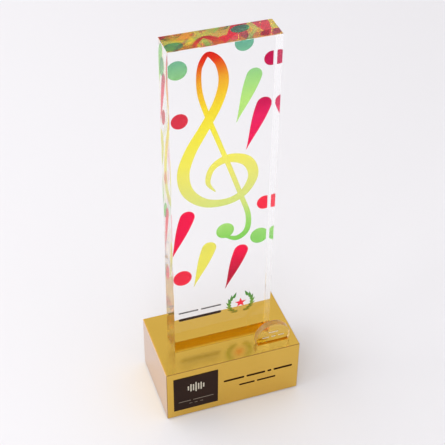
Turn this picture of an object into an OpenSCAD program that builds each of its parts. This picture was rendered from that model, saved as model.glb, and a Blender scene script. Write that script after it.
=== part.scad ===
// Column trophy: a clear acrylic slab bonded into a slot in a gold metal block, with a small clear
// disc standing in a slot of its own beside it. The slab's back carries a colour print, and the block's front
// carries a dark plate and a printed inscription. Millimetres, +Z up, the front faces -Y, and the
// origin is at the centre of the underside, on the surface that the trophy stands on.

/* [Base block] */
// Width of the base block, left to right
base_w = 100; // [96:0.5:110]
// Depth of the base block, front to back
base_d = 60; // [56:0.5:70]
// Height of the base block
base_h = 44.8; // [40:0.1:50]
// Chamfer along every edge of the base block
base_chamfer = 0.4; // [0.2:0.1:1]

/* [Anti-slip mat] */
// Distance from the mat to each side of the block
mat_inset = 5; // [3:0.5:10]
// Thickness of the mat
mat_t = 2.5; // [1.5:0.5:4]
// How far the mat stands below the block
mat_proud = 0.5; // [0.3:0.1:1]

/* [Column] */
// Width of the column
column_w = 70.9; // [68:0.1:71.5]
// Thickness of the column
column_t = 18.9; // [18:0.1:20]
// Height of the column, its foot in the slot included
column_h = 248.4; // [244:0.1:256]
// Centre of the column, left to right
column_x = -2.25; // [-3:0.25:0]
// Centre of the column, front to back
column_y = -1.25; // [-2:0.25:2]
// Chamfer along every edge of the column
column_chamfer = 0.25; // [0.1:0.05:0.5]
// Depth of the slot that holds the column
slot_depth = 4.5; // [2:0.5:10]
// Thickness of the clear adhesive round the column's foot and round the disc
bond_t = 0.15; // [0.1:0.05:0.25]

/* [Award disc] */
// Diameter of the disc
disc_d = 25.5; // [24:0.5:27]
// Thickness of the disc
disc_t = 4.4; // [3:0.1:6]
// Centre of the disc, left to right
disc_x = 32; // [30:0.5:35]
// Centre of the disc, front to back
disc_y = -20.4; // [-22:0.1:-18]
// Height of the disc's centre above the top of the block
disc_lift = 5.2; // [3:0.1:8]
// Depth of the slot that holds the disc's flat foot
disc_seat = 2; // [1:0.5:4]
// Depth of the marks cut in the disc's front
engraving_depth = 0.3; // [0.2:0.1:0.6]

/* [Back print] */
// Thickness of every print
ink_t = 0.1; // [0.05:0.05:0.15]
// Clear strip left along the right edge of the column
print_margin = 1.2; // [0:0.1:3]
// Size of the clef, as one space of the staff that it would stand on
clef_space = 21; // [20:0.25:21.5]
// Lean of the clef to the left, in degrees
clef_tilt = 10; // [6:1:14]
// Centre of the clef's spiral, left to right
clef_x = 2; // [0:0.5:4]
// Centre of the clef's spiral above the top of the block
clef_z = 140; // [138:0.5:142]

/* [Front plate and inscription] */
// Width of the plate
plate_w = 33; // [30:0.5:36]
// Height of the plate
plate_h = 32.4; // [30:0.1:36]
// Thickness of the plate
plate_t = 0.3; // [0.2:0.1:0.8]
// Distance from the plate to the left side of the block
plate_side = 5; // [3:0.5:6]
// Distance from the plate to the bottom of the block
plate_foot = 6.4; // [3:0.1:7]

/* [Hidden] */

base_z0 = mat_proud;
base_top = base_z0 + base_h;
column_z0 = base_top - slot_depth + bond_t;
column_x0 = column_x - column_w / 2;
column_back = column_y + column_t / 2;
column_show = column_z0 + column_h - base_top;
disc_z = base_top + disc_lift;
disc_foot = base_top - disc_seat + bond_t;
disc_slot_w = 2 * (sqrt(pow(disc_d / 2, 2) - pow(disc_lift, 2)) + bond_t);
front_y = -base_d / 2;

// Facets of a circle, of a bar's round ends, of each span of a pen stroke, and of a petal and a leaf
round_fn = 96;
bar_fn = 32;
curve_steps = 7;
petal_steps = 14;
leaf_steps = 5;

// How far a cut starts outside the face that it goes into
cut_over = 1;

// A textbook treble clef, upright, with its spiral round [0, 0]. Its sizes are in staff spaces, and each
// key is [x, y, stroke width]. The bowl and the stem share their keys at the top.
clef_top_keys = [[0.48, 4.05, 0.26], [0.2, 4.4, 0.16], [-0.1, 4.05, 0.15]];
clef_bowl_keys = concat([
    [-0.4, -0.46, 0.04], [-0.57, -0.02, 0.16], [-0.32, 0.48, 0.22], [0.22, 0.62, 0.3], [0.76, 0.3, 0.36],
    [0.88, -0.3, 0.34], [0.5, -0.84, 0.28], [-0.1, -1, 0.26], [-0.8, -0.76, 0.32], [-1.24, -0.16, 0.38],
    [-1.26, 0.58, 0.4], [-0.9, 1.3, 0.38], [-0.32, 2, 0.34], [0.22, 2.7, 0.32], [0.52, 3.4, 0.32],
], clef_top_keys);
clef_stem_keys = concat(clef_top_keys, [
    [-0.24, 3.3, 0.17], [-0.18, 2.5, 0.17], [0, 1.4, 0.16], [0.2, 0.2, 0.16], [0.38, -1, 0.16],
    [0.48, -1.8, 0.18], [0.34, -2.4, 0.2], [-0.02, -2.6, 0.2], [-0.36, -2.4, 0.1],
]);
clef_ball = [-0.36, -2.14];
clef_ball_r = 0.3;

// A plain scatter of petals and dots fills the space round the clef. All petals are alike and lean the
// same way, and each is named by the [x, z] of its round end. A petal grows from its tip's width by a
// power of the sine along it.
petal_reach = [11, 32];
petal_r = 5;
petal_tip_w = 0.3;
petal_power = 1.3;
green_petals = [[20, 212]];
crimson_petals = [[27, 190], [-24, 112], [14, 74]];
yellow_petals = [[-9, 82]];

// Dots are [x, z, radius].
green_dots = [[13, 236, 6], [-29, 224, 6.5], [27, 84, 6.5]];
crimson_dots = [[31, 222, 5]];
red_dots = [[-28, 188, 5.5], [-28, 60, 6.5], [30, 112, 5.5]];

// Lines of plain bars stand where words would be. Each line is [x of its start, z of its middle,
// height of its bars, lengths of its bars].
bar_gap = 1.7;
disc_lines = [[-8.3, 1.2, 1, [5.2, 3.4, 4.6]], [-3.6, 5.4, 0.9, [7.2]]];
light_lines = [[-31.5, 27.3, 1.3, [14.6, 15.2]]];
bold_lines = [[-31.5, 20.8, 2.4, [31.6]]];
plate_lines = [[-13.15, 8.2, 0.7, [9.2, 15.4]], [-5.3, 5.1, 0.5, [2.4, 2.4, 2.4]]];
title_lines = [[-7.6, 24.8, 1.7, [15.6, 14.4, 3, 14.4]]];
name_lines = [[4.2, 17.4, 1.4, [12, 14.4]]];

// Wreath of leaves round a star. Angles are measured from the wreath's top, round each side.
wreath_x = 14.6;
wreath_z = 25;
wreath_r = 8.2;
leaves = 7;
leaf_start = 38;
leaf_step = 20;
leaf_lean = 62;
leaf_l = 4.4;
leaf_r = 1;
star_points = 5;
star_r = 4.4;
star_waist = 0.42;

// Emblem of level bars on the plate, tallest in the middle and every other bar cut short
emblem_z = 21;
emblem_reach = 3;
emblem_pitch = 1.9;
emblem_bar_w = 0.95;
emblem_tallest = 9.6;
emblem_fall = 1.05;
emblem_cut = 2.2;

// One point on a Catmull-Rom curve, between keys b and c
function curve_point(a, b, c, d, t) =
    (2 * b + (c - a) * t + (2 * a - 5 * b + 4 * c - d) * t * t + (3 * b - a - 3 * c + d) * t * t * t) / 2;

function curve(keys) = [
    for (i = [0 : len(keys) - 2], s = [0 : curve_steps - 1])
        curve_point(keys[max(i - 1, 0)], keys[i], keys[i + 1], keys[min(i + 2, len(keys) - 1)], s / curve_steps),
    keys[len(keys) - 1],
];

// The edge of a pen stroke on one side of its centre line
function stroke_edge(line, i, side) =
    let (
        back = line[max(i - 1, 0)],
        ahead = line[min(i + 1, len(line) - 1)],
        along = [ahead.x - back.x, ahead.y - back.y],
        across = [-along.y, along.x] / norm(along)
    )
    [line[i].x, line[i].y] + side * line[i].z / 2 * across;

function stroke_outline(line) = concat(
    [for (i = [0 : len(line) - 1]) stroke_edge(line, i, 1)],
    [for (i = [len(line) - 1 : -1 : 0]) stroke_edge(line, i, -1)]
);

// Centre line of a petal, whose width swells from its tip to its round end of radius r
function petal_line(tip, head, r, steps) = [
    for (i = [0 : steps])
        let (t = i / steps, at = tip + (head - tip) * t)
        [at.x, at.y, 2 * r * pow(sin(90 * t), petal_power) + petal_tip_w],
];

// Outline of a petal, closed round its head by a half circle
function petal_outline(tip, head, r, steps) =
    let (
        line = petal_line(tip, head, r, steps),
        last = stroke_edge(line, steps, 1),
        start = atan2(last.y - head.y, last.x - head.x)
    )
    concat(
        [for (i = [0 : steps]) stroke_edge(line, i, 1)],
        [for (i = [1 : steps - 1])
            let (a = start - 180 * i / steps)
            head + norm(last - head) * [cos(a), sin(a)]],
        [for (i = [steps : -1 : 0]) stroke_edge(line, i, -1)]
    );

module chamfered_rectangle(width, height, chamfer) {
    x = width / 2;
    y = height / 2;
    c = chamfer;
    polygon([
        [-x + c, -y], [x - c, -y], [x, -y + c], [x, y - c],
        [x - c, y], [-x + c, y], [-x, y - c], [-x, -y + c],
    ]);
}

// A block with its base at z = 0 and every edge chamfered
module chamfered_block(width, depth, height, chamfer) {
    translate([0, 0, height / 2]) intersection() {
        linear_extrude(height, center = true) chamfered_rectangle(width, depth, chamfer);
        rotate([90, 0, 0])
            linear_extrude(depth, center = true) chamfered_rectangle(width, height, chamfer);
        rotate([90, 0, 90])
            linear_extrude(width, center = true) chamfered_rectangle(depth, height, chamfer);
    }
}

module centred_box(width, depth, height) {
    translate([-width / 2, -depth / 2, 0]) cube([width, depth, height]);
}

// A flat shape in X and Z, standing up with its front at y and growing towards the back
module upright(y, thickness) {
    translate([0, y + thickness, 0]) rotate([90, 0, 0]) linear_extrude(thickness) children();
}

// Anything printed on the column's back, in X and in Z above the top of the block
module back_ink() {
    translate([0, 0, base_top]) upright(column_back, ink_t) intersection() {
        translate([column_x0 + column_chamfer, 0])
            square([column_w - column_chamfer - print_margin, column_show - column_chamfer]);
        children();
    }
}

module dots(list) {
    for (dot = list) translate([dot.x, dot.y]) circle(r = dot.z, $fn = round_fn);
}

module petals(heads) {
    for (head = heads) polygon(petal_outline(head - petal_reach, head, petal_r, petal_steps));
}

// Every line of bars, each bar with round ends
module bar_lines(lines) {
    for (line = lines) {
        bars = line[3];
        starts = [for (k = 0, x = line[0]; k < len(bars); x = x + bars[k] + bar_gap, k = k + 1) x];
        for (k = [0 : len(bars) - 1]) translate([starts[k], line[1]]) pill(bars[k], line[2]);
    }
}

module pill(length, height) {
    r = height / 2;
    translate([r, 0]) circle(r = r, $fn = bar_fn);
    translate([length - r, 0]) circle(r = r, $fn = bar_fn);
    translate([r, -r]) square([length - 2 * r, height]);
}

module clef_shape() {
    translate([clef_x, clef_z]) rotate(clef_tilt) {
        polygon(stroke_outline(curve(clef_space * clef_bowl_keys)));
        polygon(stroke_outline(curve(clef_space * clef_stem_keys)));
        translate(clef_space * clef_ball) circle(r = clef_space * clef_ball_r, $fn = round_fn);
    }
}

module star(r) {
    polygon([
        for (i = [0 : 2 * star_points - 1])
            let (a = 90 + 180 * i / star_points, reach = i % 2 == 0 ? r : star_waist * r)
            reach * [cos(a), sin(a)],
    ]);
}

module base_block() {
    color("#CFA747") difference() {
        translate([0, 0, base_z0]) chamfered_block(base_w, base_d, base_h, base_chamfer);
        translate([column_x, column_y, base_top - slot_depth])
            centred_box(column_w + 2 * bond_t, column_t + 2 * bond_t, slot_depth + cut_over);
        translate([disc_x, disc_y, base_top - disc_seat])
            centred_box(disc_slot_w, disc_t + 2 * bond_t, disc_seat + cut_over);
        anti_slip_sheet();
    }
}

// The mat, and the recess that it fills
module anti_slip_sheet() {
    centred_box(base_w - 2 * mat_inset, base_d - 2 * mat_inset, mat_t);
}

module anti_slip_mat() {
    color("#3A3A3C") anti_slip_sheet();
}

module column_block() {
    color("#EEF4F4", 0.3) translate([column_x, column_y, column_z0])
        chamfered_block(column_w, column_t, column_h, column_chamfer);
}

module column_bond() {
    color("#F4F1E6", 0.4) translate([column_x, column_y, 0]) difference() {
        translate([0, 0, base_top - slot_depth])
            centred_box(column_w + 2 * bond_t, column_t + 2 * bond_t, slot_depth);
        translate([0, 0, column_z0])
            chamfered_block(column_w, column_t, column_h, column_chamfer);
    }
}

// The disc, plain, with a flat foot
module disc_blank() {
    translate([disc_x, disc_y, 0]) intersection() {
        translate([0, 0, disc_z]) rotate([90, 0, 0])
            cylinder(h = disc_t, r = disc_d / 2, center = true, $fn = round_fn);
        translate([0, 0, disc_foot]) centred_box(2 * disc_d, 2 * disc_t, 2 * disc_d);
    }
}

module award_disc() {
    face_y = disc_y - disc_t / 2;
    color("#EEF4F4", 0.3) difference() {
        disc_blank();
        translate([disc_x, 0, disc_z])
            upright(face_y - cut_over, engraving_depth + cut_over) bar_lines(disc_lines);
    }
}

module disc_bond() {
    color("#F4F1E6", 0.4) difference() {
        translate([disc_x, disc_y, base_top - disc_seat])
            centred_box(disc_slot_w, disc_t + 2 * bond_t, disc_seat);
        disc_blank();
    }
}

module clef_print() {
    color("#F2D640") back_ink() clef_shape();
}

module green_print() {
    color("#8FD383") back_ink() {
        petals(green_petals);
        dots(green_dots);
    }
}

module crimson_print() {
    color("#D81058") back_ink() {
        petals(crimson_petals);
        dots(crimson_dots);
    }
}

module red_print() {
    color("#EE4456") back_ink() dots(red_dots);
}

module yellow_print() {
    color("#F8F06A") back_ink() petals(yellow_petals);
}

module caption_print_light() {
    color("#8E8C8E") back_ink() bar_lines(light_lines);
}

module caption_print_bold() {
    color("#4A2E1C") back_ink() bar_lines(bold_lines);
}

module wreath_print() {
    color("#7FB04A") back_ink() translate([wreath_x, wreath_z])
        for (side = [-1, 1], i = [0 : leaves - 1]) {
            angle = 90 + side * (leaf_start + i * leaf_step);
            lean = angle - side * leaf_lean;
            foot = wreath_r * [cos(angle), sin(angle)];
            tip = foot + leaf_l * [cos(lean), sin(lean)];
            polygon(petal_outline(tip, foot, leaf_r, leaf_steps));
        }
}

module star_print() {
    color("#D62B3A") back_ink() translate([wreath_x, wreath_z]) star(star_r);
}

// Anything on the plate's front, from the middle of the plate's bottom edge
module plate_ink() {
    upright(front_y - plate_t - ink_t, ink_t)
        translate([-base_w / 2 + plate_side + plate_w / 2, base_z0 + plate_foot]) children();
}

// Anything printed on the block's front, from the middle of the block's bottom edge
module front_ink() {
    upright(front_y - ink_t, ink_t) translate([0, base_z0]) children();
}

module front_plate() {
    color("#2A180F") upright(front_y - plate_t, plate_t)
        translate([-base_w / 2 + plate_side, base_z0 + plate_foot]) square([plate_w, plate_h]);
}

module plate_emblem() {
    color("#E9E2D2") plate_ink() for (i = [-emblem_reach : emblem_reach]) {
        height = emblem_tallest - emblem_fall * abs(i) - (i % 2 == 0 ? 0 : emblem_cut);
        translate([i * emblem_pitch, emblem_z - height / 2]) rotate(90) pill(height, emblem_bar_w);
    }
}

module plate_caption() {
    color("#8C8278") plate_ink() bar_lines(plate_lines);
}

module inscription_title() {
    color("#4B2E17") front_ink() bar_lines(title_lines);
}

module inscription_name() {
    color("#4B2E17") front_ink() bar_lines(name_lines);
}

base_block();
anti_slip_mat();
column_block();
column_bond();
award_disc();
disc_bond();
clef_print();
green_print();
crimson_print();
red_print();
yellow_print();
caption_print_light();
caption_print_bold();
wreath_print();
star_print();
front_plate();
plate_emblem();
plate_caption();
inscription_title();
inscription_name();
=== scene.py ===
"""Looks of the column trophy: clear acrylic, gold metal, printed inks, floor, lights and camera."""
import math

import bmesh
import bpy
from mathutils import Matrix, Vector


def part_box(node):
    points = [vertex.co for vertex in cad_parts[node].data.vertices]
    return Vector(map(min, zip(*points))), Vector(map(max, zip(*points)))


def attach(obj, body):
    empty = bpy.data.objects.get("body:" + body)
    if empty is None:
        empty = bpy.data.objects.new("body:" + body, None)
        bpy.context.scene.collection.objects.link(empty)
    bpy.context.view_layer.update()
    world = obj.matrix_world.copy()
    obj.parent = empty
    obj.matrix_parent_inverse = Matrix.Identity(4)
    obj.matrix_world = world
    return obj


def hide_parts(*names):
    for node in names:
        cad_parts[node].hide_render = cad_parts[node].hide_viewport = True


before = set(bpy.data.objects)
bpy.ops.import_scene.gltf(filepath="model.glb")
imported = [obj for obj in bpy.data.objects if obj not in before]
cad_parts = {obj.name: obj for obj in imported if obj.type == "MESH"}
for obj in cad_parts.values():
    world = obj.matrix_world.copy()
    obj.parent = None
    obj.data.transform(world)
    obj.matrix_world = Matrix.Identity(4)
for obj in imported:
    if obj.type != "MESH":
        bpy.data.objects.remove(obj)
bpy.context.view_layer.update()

MM = 0.001
BODY = "root"

# ---------------------------------------------------------------- camera
# In degrees: yaw turns from +Y towards +X, pitch looks down, and roll lifts the camera's right side
CAMERA_YAW = 19.45
CAMERA_PITCH = 39.35
CAMERA_ROLL = 0.71
# The camera aims at a point this high above the origin, moved to the right and up as the camera sees it
AIM_HEIGHT = 150.5 * MM
AIM_RIGHT = 0.5 * MM
AIM_UP = -2.57 * MM
CAMERA_DISTANCE = 716.23 * MM
# Focal length and width of the sensor, in millimetres
CAMERA_LENS = 87.31
CAMERA_SENSOR = 36.0
# How near and how far the camera sees, in metres
CAMERA_NEAREST = 0.05
CAMERA_FURTHEST = 50.0

# ---------------------------------------------------------------- gold
GOLD_DEEP = (0.68, 0.412, 0.021)
GOLD_PALE = (0.75, 0.458, 0.037)
# Painted shade: the chamfered edges are painted this darker gold, so that a dark line runs along every edge
GOLD_EDGE_PAINTED_SHADE = (0.34, 0.17, 0.01)
# Painted light: the covered faces, the slots' walls and the underside, are painted this brighter, deeper gold
GOLD_COVERED_PAINTED_LIGHT = (0.77, 0.475, 0.026)
GOLD_GLOSS_TINT = (0.82, 0.74, 0.95)
# The block's faces count as covered where they lie more than this inside its sides and its top
BLOCK_SKIN = 0.3 * MM

# ---------------------------------------------------------------- clear acrylic
ACRYLIC_IOR = 1.49
ACRYLIC_TINT = (0.996, 0.998, 0.998)
# The polished faces mirror less than bare acrylic does head on, so that the print's colours stay deep
ACRYLIC_GLOSS_TINT = (0.35, 0.35, 0.35)
# Tint of lamplight through one clear face, and of an ink's outer face
CLEAR_TINT = (0.99, 0.99, 0.99)
# How far the clear pieces reach into what they are bonded to, so that no air gap is left between them
BOND_REACH = 0.02 * MM
INK_REACH = 0.04 * MM
# Above the adhesive, a clear piece closes in over this height to the slab's or the disc's own outline
MENISCUS = 0.2 * MM
COLUMN_CHAMFER = 0.15 * MM
DISC_CHAMFER = 0.25 * MM
DISC_SEGMENTS = 192
# A face whose normal has more than this share along an axis is square to it
SQUARE_SHARE = 0.9
SHARP_ANGLE = math.radians(30)

# ---------------------------------------------------------------- engraved marks
# Rows of bars in mm: height above the disc's centre, width of a bar, start across from the centre, lengths
MARK_ROWS = (
    (1.2, 1.0, -8.3, (5.2, 3.4, 4.6)),
    (5.4, 0.9, -3.6, (7.2,)),
)
MARK_GAP = 1.7
MARK_END_STEPS = 8
# How far the frost stands out of the disc's front, and how deep it goes
MARK_PROUD = 0.02 * MM
MARK_DEPTH = 0.06 * MM

# ---------------------------------------------------------------- print
# Gamma of every ink's densest patches, and the share of a plain ink's colour that its darker patches keep
PATCH_GAMMA = 1.12
PLAIN_DRIFT = 0.88
# The share of the light scattered by an ink that goes on through it
THROUGH_SHARE = 0.4

# ---------------------------------------------------------------- light
BACKDROP_COLOUR = (0.985, 0.97, 0.99)
BACKDROP_STRENGTH = 0.88
FLOOR_COLOUR = (0.765, 0.757, 0.772)
FLOOR_SIZE = 8.0
# Light is mirrored many times inside the slab, and passes through many layers of print
MIRROR_BOUNCES = 64
DIFFUSE_BOUNCES = 4
CLEAR_LAYERS = 48

# Sockets of the mix node that hold its factor, its two colours and its result
MIX_FACTOR, MIX_FIRST, MIX_SECOND, MIX_RESULT = 0, 6, 7, 2


# ================================================================ node helpers
def new_material(name):
    """An empty node material and its output node."""
    material = bpy.data.materials.new(name)
    material.use_nodes = True
    tree = material.node_tree
    tree.nodes.clear()
    return material, tree, tree.nodes.new("ShaderNodeOutputMaterial")


def add(tree, kind, inputs=None, **settings):
    """Adds a node. A value in inputs is a number, a colour or the output socket to link from."""
    node = tree.nodes.new(kind)
    for key, value in settings.items():
        setattr(node, key, value)
    for key, value in (inputs or {}).items():
        if isinstance(value, bpy.types.NodeSocket):
            tree.links.new(value, node.inputs[key])
        else:
            node.inputs[key].default_value = value
    return node


def rgba(colour):
    """An opaque colour, as a socket takes it."""
    return (*colour, 1.0)


def srgb(red, green, blue):
    """A linear colour from its three screen values, 0 to 255."""
    return tuple(
        v / 12.92 if v <= 0.04045 else ((v + 0.055) / 1.055) ** 2.4
        for v in (red / 255, green / 255, blue / 255)
    )


def place(tree, stretch=(1, 1, 1)):
    """Places in the row frame, in metres, stretched along each axis."""
    coordinates = add(tree, "ShaderNodeTexCoord")
    mapping = add(tree, "ShaderNodeMapping", {"Vector": coordinates.outputs["Object"], "Scale": stretch})
    return mapping.outputs["Vector"]


def noise(tree, vector, scale, detail):
    """Cloudy noise from 0 to 1. scale is the number of lumps per metre, before any stretch."""
    node = add(tree, "ShaderNodeTexNoise", {"Vector": vector, "Scale": scale, "Detail": detail})
    return node.outputs["Fac"]


def spread(tree, value, low, high, from_low=0.3, from_high=0.7):
    """Spreads a value over the range from low to high. Its own range is noise's usual one if not given."""
    node = add(
        tree, "ShaderNodeMapRange",
        {"Value": value, "From Min": from_low, "From Max": from_high, "To Min": low, "To Max": high},
    )
    return node.outputs["Result"]


def ramp(tree, value, stops):
    """A colour ramp from (position, colour) stops."""
    node = add(tree, "ShaderNodeValToRGB", {"Fac": value})
    elements = node.color_ramp.elements
    while len(elements) < len(stops):
        elements.new(0.5)
    for element, (position, colour) in zip(elements, stops):
        element.position = position
        element.color = rgba(colour)
    return node.outputs["Color"]


def mixed(tree, factor, first, second):
    """The first colour at factor 0 and the second at 1. Each of the three is a socket or a constant."""
    node = add(tree, "ShaderNodeMix", data_type="RGBA")
    for key, value in ((MIX_FACTOR, factor), (MIX_FIRST, first), (MIX_SECOND, second)):
        socket = node.inputs[key]
        if isinstance(value, bpy.types.NodeSocket):
            tree.links.new(value, socket)
        else:
            socket.default_value = rgba(value) if isinstance(value, tuple) else value
    return node.outputs[MIX_RESULT]


def bump(tree, height, strength, distance):
    """The normal of a surface that a height from 0 to 1 roughens."""
    node = add(tree, "ShaderNodeBump", {"Height": height, "Strength": strength, "Distance": distance})
    return node.outputs["Normal"]


def height_share(tree, low, high, lean=0.0):
    """How far up a point is, from 0 at height low to 1 at height high. lean lifts it towards the left."""
    parts = add(tree, "ShaderNodeSeparateXYZ", {"Vector": place(tree)})
    lifted = add(
        tree, "ShaderNodeMath", {0: parts.outputs["X"], 1: -lean, 2: parts.outputs["Z"]},
        operation="MULTIPLY_ADD",
    )
    return spread(tree, lifted.outputs["Value"], 0.0, 1.0, low, high)


# ================================================================ materials
def covered_share(tree):
    """1 on the block's covered faces, which are its underside and the walls of its slots, and 0 elsewhere."""
    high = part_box("base_block")[1]
    parts = add(tree, "ShaderNodeSeparateXYZ", {"Vector": place(tree)})
    inside = None
    for axis in "XYZ":
        edge = getattr(high, axis.lower()) - BLOCK_SKIN
        size = add(tree, "ShaderNodeMath", {0: parts.outputs[axis]}, operation="ABSOLUTE")
        within = add(tree, "ShaderNodeMath", {0: size.outputs["Value"], 1: edge}, operation="LESS_THAN")
        if inside is None:
            inside = within
        else:
            inside = add(
                tree, "ShaderNodeMath", {0: inside.outputs["Value"], 1: within.outputs["Value"]},
                operation="MULTIPLY",
            )
    return inside.outputs["Value"]


def chamfer_share(tree):
    """1 on faces that slant between two axes, such as chamfers, and 0 on faces square to an axis."""
    geometry = add(tree, "ShaderNodeNewGeometry")
    turned = add(tree, "ShaderNodeVectorMath", {0: geometry.outputs["True Normal"]}, operation="ABSOLUTE")
    parts = add(tree, "ShaderNodeSeparateXYZ", {"Vector": turned.outputs["Vector"]})
    widest = parts.outputs["X"]
    for axis in "YZ":
        larger = add(tree, "ShaderNodeMath", {0: widest, 1: parts.outputs[axis]}, operation="MAXIMUM")
        widest = larger.outputs["Value"]
    slanted = add(tree, "ShaderNodeMath", {0: widest, 1: SQUARE_SHARE}, operation="LESS_THAN")
    return slanted.outputs["Value"]


def gold_metal():
    """Gold anodised aluminium under clear lacquer: faint lapping lines and a soft, uneven polish. Its
    chamfers carry painted shade, and its covered faces painted light.
    """
    material, tree, output = new_material("gold_metal")
    cloud = noise(tree, place(tree), scale=55.0, detail=3.0)
    grain = noise(tree, place(tree, (60, 1500, 1500)), scale=1.0, detail=3.0)
    lacquered = mixed(tree, cloud, GOLD_DEEP, GOLD_PALE)
    # Painted shade: the chamfers are painted a darker gold
    with_edge_shade = mixed(tree, chamfer_share(tree), lacquered, GOLD_EDGE_PAINTED_SHADE)
    covered = covered_share(tree)
    # A roughness above about 0.27 leaves faint rings on the faces once the render is denoised
    shader = add(tree, "ShaderNodeBsdfPrincipled", {
        # Painted light: the covered faces, seen in the slots through the acrylic, get a brighter gold
        "Base Color": mixed(tree, covered, with_edge_shade, GOLD_COVERED_PAINTED_LIGHT),
        "Metallic": 1.0,
        "Specular Tint": rgba(GOLD_GLOSS_TINT),
        "Roughness": spread(tree, cloud, 0.19, 0.27, from_low=0.0, from_high=1.0),
        "Coat Weight": spread(tree, covered, 1.0, 0.0, from_low=0.0, from_high=1.0),
        "Coat Roughness": 0.16,
        "Coat IOR": 1.5,
        "Normal": bump(tree, grain, strength=0.05, distance=0.02 * MM),
    })
    tree.links.new(shader.outputs["BSDF"], output.inputs["Surface"])
    return material


def clear_acrylic():
    """Clear cast acrylic, with the slight waviness of polished faces. Lamps shine straight through it."""
    material, tree, output = new_material("clear_acrylic")
    wave = noise(tree, place(tree, (1, 1, 0.35)), scale=45.0, detail=2.0)
    glass = add(tree, "ShaderNodeBsdfPrincipled", {
        "Base Color": rgba(ACRYLIC_TINT),
        "Roughness": 0.0,
        "IOR": ACRYLIC_IOR,
        "Specular Tint": rgba(ACRYLIC_GLOSS_TINT),
        "Transmission Weight": 1.0,
        "Normal": bump(tree, wave, strength=0.04, distance=0.05 * MM),
    })
    clear = add(tree, "ShaderNodeBsdfTransparent", {"Color": rgba(CLEAR_TINT)})
    path = add(tree, "ShaderNodeLightPath")
    both = add(tree, "ShaderNodeMixShader", {
        0: path.outputs["Is Shadow Ray"], 1: glass.outputs["BSDF"], 2: clear.outputs["BSDF"],
    })
    tree.links.new(both.outputs["Shader"], output.inputs["Surface"])
    return material


def hazed_acrylic(name, least, most, roughness, colour=(0.93, 0.92, 0.91)):
    """Clear acrylic whose face is polished less well. It scatters a share of light between least and most."""
    material, tree, output = new_material(name)
    streaks = noise(tree, place(tree, (1, 1, 0.1)), scale=500.0, detail=3.0)
    glass = add(tree, "ShaderNodeBsdfPrincipled", {
        "Base Color": rgba(ACRYLIC_TINT),
        "Roughness": roughness,
        "IOR": ACRYLIC_IOR,
        "Transmission Weight": 1.0,
    })
    haze = add(tree, "ShaderNodeBsdfTranslucent", {"Color": rgba(colour)})
    both = add(tree, "ShaderNodeMixShader", {
        0: spread(tree, streaks, least, most), 1: glass.outputs["BSDF"], 2: haze.outputs["BSDF"],
    })
    tree.links.new(both.outputs["Shader"], output.inputs["Surface"])
    return material


def frosted_mark():
    """Engraved acrylic, a pale frost with a fine grain."""
    material, tree, output = new_material("frosted_mark")
    grain = noise(tree, place(tree), scale=3200.0, detail=2.0)
    shader = add(tree, "ShaderNodeBsdfPrincipled", {
        "Base Color": mixed(tree, grain, (0.80, 0.74, 0.62), (0.93, 0.88, 0.78)),
        "Roughness": 0.55,
        "Transmission Weight": 0.6,
        "IOR": ACRYLIC_IOR,
        "Normal": bump(tree, grain, strength=0.4, distance=0.05 * MM),
    })
    tree.links.new(shader.outputs["BSDF"], output.inputs["Surface"])
    return material


def ink(name, colour_of, body=0.2):
    """A thin print, mostly a clear colour filter. body is the share of light that each of its faces scatters.
    On the slab, only the face inside the acrylic filters, so that a mirrored print is tinted twice."""
    material, tree, output = new_material(name)
    density = noise(tree, place(tree), scale=260.0, detail=3.0)
    colour = colour_of(tree)
    darker = add(tree, "ShaderNodeGamma", {"Color": colour, "Gamma": PATCH_GAMMA})
    shown = mixed(tree, spread(tree, density, 0.0, 1.0), colour, darker.outputs["Color"])
    low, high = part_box("clef_print")
    middle = (low.y + high.y) / 2
    parts = add(tree, "ShaderNodeSeparateXYZ", {"Vector": place(tree)})
    outer = add(tree, "ShaderNodeMath", {0: parts.outputs["Y"], 1: middle}, operation="GREATER_THAN")
    filtered = mixed(tree, outer.outputs["Value"], shown, CLEAR_TINT)
    clear = add(tree, "ShaderNodeBsdfTransparent", {"Color": filtered})
    front = add(tree, "ShaderNodeBsdfPrincipled", {
        "Base Color": shown,
        "Roughness": spread(tree, density, 0.25, 0.4),
        "Specular IOR Level": 0.0,
    })
    through = add(tree, "ShaderNodeBsdfTranslucent", {"Color": shown})
    scatter = add(tree, "ShaderNodeMixShader", {
        0: THROUGH_SHARE, 1: front.outputs["BSDF"], 2: through.outputs["BSDF"],
    })
    both = add(tree, "ShaderNodeMixShader", {
        0: body, 1: clear.outputs["BSDF"], 2: scatter.outputs["Shader"],
    })
    tree.links.new(both.outputs["Shader"], output.inputs["Surface"])
    return material


def by_height(*stops, lean=0.0):
    """A colour that changes with height above the block, from (height in mm, colour) stops, lowest first."""
    block_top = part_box("base_block")[1].z
    low, high = (block_top + stops[i][0] * MM for i in (0, -1))
    span = stops[-1][0] - stops[0][0]
    shares = [((height - stops[0][0]) / span, colour) for height, colour in stops]
    return lambda tree: ramp(tree, height_share(tree, low, high, lean), shares)


def plain(colour):
    """A colour with a faint drift in depth."""
    darker = tuple(PLAIN_DRIFT * c for c in colour)
    return lambda tree: mixed(tree, noise(tree, place(tree), scale=90.0, detail=2.0), colour, darker)


def dark_plate():
    """Dark brown satin film with a very fine grain."""
    material, tree, output = new_material("dark_plate")
    grain = noise(tree, place(tree), scale=2600.0, detail=3.0)
    cloud = noise(tree, place(tree), scale=60.0, detail=2.0)
    shader = add(tree, "ShaderNodeBsdfPrincipled", {
        "Base Color": mixed(tree, cloud, (0.016, 0.007, 0.004), (0.024, 0.010, 0.006)),
        "Roughness": spread(tree, grain, 0.38, 0.5),
        "Specular IOR Level": 0.08,
        "Normal": bump(tree, grain, strength=0.15, distance=0.01 * MM),
    })
    tree.links.new(shader.outputs["BSDF"], output.inputs["Surface"])
    return material


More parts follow.
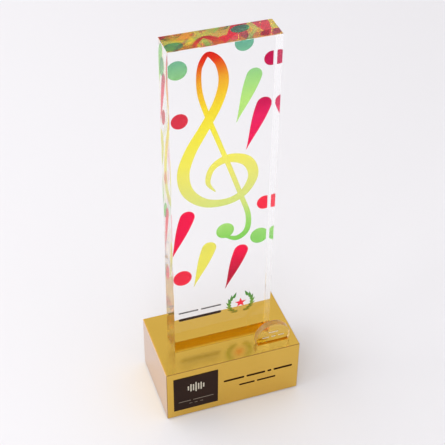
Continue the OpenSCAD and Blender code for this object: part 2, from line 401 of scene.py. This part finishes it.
def rubber():
    """Dark rubber sheet with a pebbled grain."""
    material, tree, output = new_material("rubber_mat")
    cells = add(tree, "ShaderNodeTexVoronoi", {"Vector": place(tree), "Scale": 900.0})
    pebbles = cells.outputs["Distance"]
    shader = add(tree, "ShaderNodeBsdfPrincipled", {
        "Base Color": mixed(tree, pebbles, (0.035, 0.035, 0.038), (0.06, 0.06, 0.064)),
        "Roughness": 0.75,
        "Normal": bump(tree, pebbles, strength=0.5, distance=0.15 * MM),
    })
    tree.links.new(shader.outputs["BSDF"], output.inputs["Surface"])
    return material


def floor_paper():
    """Pale studio paper with a barely visible tooth."""
    material, tree, output = new_material("floor_paper")
    tooth = noise(tree, place(tree), scale=700.0, detail=3.0)
    shader = add(tree, "ShaderNodeBsdfPrincipled", {
        "Base Color": rgba(FLOOR_COLOUR),
        "Roughness": spread(tree, tooth, 0.6, 0.75),
        "Specular IOR Level": 0.2,
    })
    tree.links.new(shader.outputs["BSDF"], output.inputs["Surface"])
    return material


# ================================================================ pieces
def mesh_piece(name, mesh_builder, material, smooth=False):
    """Makes an object from a bmesh, gives it its material and lets it ride with the trophy."""
    data = bpy.data.meshes.new(name)
    bmesh.ops.recalc_face_normals(mesh_builder, faces=mesh_builder.faces)
    mesh_builder.to_mesh(data)
    mesh_builder.free()
    piece = bpy.data.objects.new(name, data)
    bpy.context.scene.collection.objects.link(piece)
    data.materials.append(material)
    for face in data.polygons:
        face.use_smooth = smooth
    if smooth:
        data.set_sharp_from_angle(angle=SHARP_ANGLE)
    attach(piece, BODY)
    return piece


def chamfered_ring(builder, low, high, z, chamfer):
    """Eight vertices round a rectangle with its corners cut off."""
    x0, x1, y0, y1, c = low[0], high[0], low[1], high[1], chamfer
    corners = (
        (x0 + c, y0), (x1 - c, y0), (x1, y0 + c), (x1, y1 - c),
        (x1 - c, y1), (x0 + c, y1), (x0, y1 - c), (x0, y0 + c),
    )
    return [builder.verts.new((x, y, z)) for x, y in corners]


def bridge(builder, rows, closed=True):
    """Joins rows of vertices one to the next with four-sided faces. A closed row is a ring."""
    for near, far in zip(rows, rows[1:]):
        for i in range(len(near) if closed else len(near) - 1):
            j = (i + 1) % len(near)
            builder.faces.new((near[i], near[j], far[j], far[i]))


def loft(builder, rings):
    """Joins rings of vertices one to the next, and closes both ends."""
    bridge(builder, rings)
    builder.faces.new(rings[0])
    builder.faces.new(rings[-1])


def add_second(piece, material, picks):
    """Gives the faces that picks chooses a second material."""
    piece.data.materials.append(material)
    for face in piece.data.polygons:
        if picks(face):
            face.material_index = 1


def clear_column(material, side_material):
    """The slab with its adhesive as one clear body, in touch with the slot's walls and with the prints."""
    low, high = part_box("column_block")
    bond_low, bond_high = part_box("column_bond")
    reach = Vector((BOND_REACH,) * 3)
    back = Vector((0, INK_REACH, 0))
    cut = Vector((COLUMN_CHAMFER, COLUMN_CHAMFER, 0))
    foot_low, foot_high = bond_low - reach, bond_high + reach
    builder = bmesh.new()
    loft(builder, [
        chamfered_ring(builder, foot_low, foot_high, foot_low.z, COLUMN_CHAMFER),
        chamfered_ring(builder, foot_low, foot_high, bond_high.z, COLUMN_CHAMFER),
        chamfered_ring(builder, low, high + back, bond_high.z + MENISCUS, COLUMN_CHAMFER),
        chamfered_ring(builder, low, high + back, high.z - COLUMN_CHAMFER, COLUMN_CHAMFER),
        chamfered_ring(builder, low + cut, high + back - cut, high.z, COLUMN_CHAMFER / 2),
    ])

    def is_side(face):
        """Whether a face is the slab's left or right side above the adhesive."""
        return abs(face.normal.x) > SQUARE_SHARE and face.center.z > bond_high.z

    piece = mesh_piece("clear_column", builder, material)
    add_second(piece, side_material, is_side)
    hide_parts("column_block", "column_bond")


def clear_disc(material, rim_material):
    """The disc with its adhesive as one clear body, with an eased rim, in touch with the slot's walls."""
    low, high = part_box("award_disc")
    bond_low, bond_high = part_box("disc_bond")
    reach = Vector((BOND_REACH,) * 3)
    foot_low, foot_high = bond_low - reach, bond_high + reach
    radius = (high.x - low.x) / 2
    centre = Vector(((low.x + high.x) / 2, (low.y + high.y) / 2, high.z - radius))
    half, c = (high.y - low.y) / 2, DISC_CHAMFER
    rim = bond_high.z + MENISCUS
    start = math.asin((rim - centre.z) / radius)
    sweep = math.pi - 2 * start

    def arc(r, y):
        """The rim of the disc above the adhesive, from right to left."""
        angles = [start + sweep * i / DISC_SEGMENTS for i in range(DISC_SEGMENTS + 1)]
        return [
            builder.verts.new((centre.x + r * math.cos(angle), y, centre.z + r * math.sin(angle)))
            for angle in angles
        ]

    def is_rim(face):
        """Whether a face is on the rim above the adhesive."""
        return abs(face.normal.y) < SQUARE_SHARE and face.center.z > rim

    builder = bmesh.new()
    front, back = centre.y - half, centre.y + half
    arcs = [arc(radius - c, front), arc(radius, front + c), arc(radius, back - c), arc(radius - c, back)]
    bridge(builder, arcs, closed=False)
    builder.faces.new(arcs[0])
    builder.faces.new(arcs[-1])
    waist = [row[0] for row in arcs] + [row[-1] for row in reversed(arcs)]
    corners = (
        (foot_high.x, foot_low.y), (foot_high.x, foot_low.y + c), (foot_high.x, foot_high.y - c),
        (foot_high.x, foot_high.y), (foot_low.x, foot_high.y), (foot_low.x, foot_high.y - c),
        (foot_low.x, foot_low.y + c), (foot_low.x, foot_low.y),
    )
    rings = [waist] + [
        [builder.verts.new((x, y, z)) for x, y in corners] for z in (bond_high.z, foot_low.z)
    ]
    bridge(builder, rings)
    builder.faces.new(rings[-1])
    piece = mesh_piece("clear_disc", builder, material, smooth=True)
    add_second(piece, rim_material, is_rim)
    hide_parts("award_disc", "disc_bond")


def pill(builder, x0, x1, z, width, y0, y1):
    """A flat bar with round ends, standing in X and Z, from y0 to y1."""
    r = width / 2
    outline = []
    for x, first_angle in ((x1 - r, -90), (x0 + r, 90)):
        for i in range(MARK_END_STEPS + 1):
            angle = math.radians(first_angle + 180 * i / MARK_END_STEPS)
            outline.append((x + r * math.cos(angle), z + r * math.sin(angle)))
    loft(builder, [[builder.verts.new((px, y, pz)) for px, pz in outline] for y in (y0, y1)])


def disc_marks(material):
    """The engraved bars on the disc's front, as frost that sits in its surface."""
    low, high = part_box("award_disc")
    centre = (low + high) / 2
    centre.z = high.z - (high.x - low.x) / 2
    builder = bmesh.new()
    for z, width, start, lengths in MARK_ROWS:
        x = start
        for length in lengths:
            pill(
                builder, centre.x + x * MM, centre.x + (x + length) * MM, centre.z + z * MM,
                width * MM, low.y - MARK_PROUD, low.y + MARK_DEPTH,
            )
            x += length + MARK_GAP
    mesh_piece("disc_marks", builder, material)


def paint(node, material):
    """Gives a CAD node its material."""
    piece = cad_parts[node]
    piece.data.materials.clear()
    piece.data.materials.append(material)


# ================================================================ stage, lights and camera
def make_floor():
    """A wide sheet of paper under the trophy."""
    builder = bmesh.new()
    bmesh.ops.create_grid(builder, x_segments=1, y_segments=1, size=FLOOR_SIZE / 2)
    data = bpy.data.meshes.new("floor")
    builder.to_mesh(data)
    builder.free()
    data.materials.append(floor_paper())
    floor = bpy.data.objects.new("floor", data)
    bpy.context.scene.collection.objects.link(floor)


def softbox(name, position, target, size, power):
    """A white rectangular lamp that faces its target, with sizes in metres and power in watts."""
    data = bpy.data.lights.new(name, "AREA")
    data.shape = "RECTANGLE"
    data.size, data.size_y = size
    data.energy = power
    lamp = bpy.data.objects.new(name, data)
    lamp.location = position
    lamp.rotation_mode = "QUATERNION"
    lamp.rotation_quaternion = (Vector(target) - Vector(position)).to_track_quat("-Z", "Y")
    bpy.context.scene.collection.objects.link(lamp)


def make_backdrop():
    """A plain pale sky all round."""
    world = bpy.data.worlds.new("studio")
    world.use_nodes = True
    tree = world.node_tree
    background = tree.nodes["Background"]
    background.inputs["Color"].default_value = rgba(BACKDROP_COLOUR)
    background.inputs["Strength"].default_value = BACKDROP_STRENGTH
    bpy.context.scene.world = world


def make_camera():
    """The camera, from its angles, its aim and its distance."""
    yaw, pitch, roll = (math.radians(a) for a in (CAMERA_YAW, CAMERA_PITCH, CAMERA_ROLL))
    forward = Vector((
        math.sin(yaw) * math.cos(pitch), math.cos(yaw) * math.cos(pitch), -math.sin(pitch),
    ))
    right = Vector((math.cos(yaw), -math.sin(yaw), 0))
    up = right.cross(forward)
    data = bpy.data.cameras.new("camera")
    data.lens = CAMERA_LENS
    data.sensor_width = CAMERA_SENSOR
    data.clip_start = CAMERA_NEAREST
    data.clip_end = CAMERA_FURTHEST
    camera = bpy.data.objects.new("camera", data)
    rolled_right = math.cos(roll) * right + math.sin(roll) * up
    rolled_up = math.cos(roll) * up - math.sin(roll) * right
    turn = camera.matrix_world.to_3x3()
    turn.col[0], turn.col[1], turn.col[2] = rolled_right, rolled_up, -forward
    camera.matrix_world = turn.to_4x4()
    aim = Vector((0, 0, AIM_HEIGHT)) + AIM_RIGHT * right + AIM_UP * up
    camera.location = aim - CAMERA_DISTANCE * forward
    bpy.context.scene.collection.objects.link(camera)
    bpy.context.scene.camera = camera


def set_light_paths():
    """Plain screen colours, and enough bounces for what is mirrored inside the acrylic."""
    scene = bpy.context.scene
    scene.view_settings.view_transform = "Standard"
    cycles = scene.cycles
    cycles.max_bounces = MIRROR_BOUNCES
    cycles.transmission_bounces = MIRROR_BOUNCES
    cycles.glossy_bounces = MIRROR_BOUNCES
    cycles.diffuse_bounces = DIFFUSE_BOUNCES
    cycles.transparent_max_bounces = CLEAR_LAYERS


# ================================================================ the trophy
BROWN, GREY, CREAM = srgb(72, 42, 26), srgb(150, 148, 150), srgb(236, 228, 208)
RED, SOFT_RED = srgb(255, 52, 84), srgb(236, 66, 88)

clef_ink = ink("clef_ink", by_height(
    (84, srgb(152, 226, 104)), (100, srgb(190, 238, 136)), (112, srgb(228, 242, 146)),
    (125, srgb(238, 242, 148)), (146, srgb(250, 246, 130)), (160, srgb(255, 249, 108)),
    (180, srgb(255, 246, 80)), (195, srgb(255, 236, 60)), (206, srgb(255, 214, 54)),
    (215, srgb(250, 190, 52)), (222, srgb(246, 142, 36)), (229, srgb(240, 62, 10)),
    (235, srgb(228, 16, 0)), lean=0.15,
))
green_ink = ink("green_ink", by_height(
    (80, srgb(160, 228, 120)), (112, srgb(206, 240, 160)), (160, srgb(196, 241, 144)),
    (196, srgb(206, 246, 146)), (211, srgb(183, 234, 152)), (220, srgb(164, 222, 160)),
    (231, srgb(138, 206, 170)), (244, srgb(108, 186, 170)),
))
crimson_ink = ink("crimson_ink", by_height(
    (56, srgb(212, 0, 66)), (74, srgb(255, 0, 84)), (150, srgb(255, 10, 92)),
    (182, srgb(248, 34, 114)), (196, srgb(214, 0, 92)),
))
red_ink = ink("red_ink", by_height((110, RED), (190, SOFT_RED)))
yellow_ink = ink("yellow_ink", plain(srgb(255, 250, 118)))
leaf_ink = ink("leaf_ink", by_height(
    (14, srgb(200, 190, 40)), (26, srgb(120, 176, 66)), (36, srgb(84, 160, 76)),
))
brown_ink = ink("brown_ink", plain(BROWN), body=0.8)
grey_ink = ink("grey_ink", plain(GREY), body=0.8)
cream_ink = ink("cream_ink", plain(CREAM), body=1.0)
plate_grey_ink = ink("plate_grey_ink", plain(srgb(150, 138, 124)), body=1.0)

PAINT = {
    "base_block": gold_metal(),
    "anti_slip_mat": rubber(),
    "clef_print": clef_ink,
    "green_print": green_ink,
    "crimson_print": crimson_ink,
    "red_print": red_ink,
    "yellow_print": yellow_ink,
    "wreath_print": leaf_ink,
    "star_print": red_ink,
    "caption_print_light": grey_ink,
    "caption_print_bold": brown_ink,
    "front_plate": dark_plate(),
    "plate_emblem": cream_ink,
    "plate_caption": plate_grey_ink,
    "inscription_title": brown_ink,
    "inscription_name": brown_ink,
}
for node, finish in PAINT.items():
    paint(node, finish)

acrylic = clear_acrylic()
clear_column(acrylic, hazed_acrylic("column_side", least=0.04, most=0.1, roughness=0.0))
# The rim is rougher and hazed, and its haze is tinted orange-brown, a painted reflection of the gold base
# seen in the rim
clear_disc(acrylic, hazed_acrylic("disc_rim_haze_and_painted_reflection", least=0.3, most=0.4, roughness=0.3, colour=(0.86, 0.62, 0.45)))
disc_marks(frosted_mark())

make_floor()
make_backdrop()
softbox("key", position=(-1.3, 0.1, 1.1), target=(0, 0, 0.1), size=(1.0, 1.0), power=8.0)
softbox("front_fill", position=(-1.6, -2.7, 1.2), target=(0, 0, 0.15), size=(2.4, 1.6), power=38.0)
softbox("back_fill", position=(-2.0, 2.3, 1.2), target=(0, 0, 0.15), size=(2.4, 1.6), power=26.0)
make_camera()
set_light_paths()
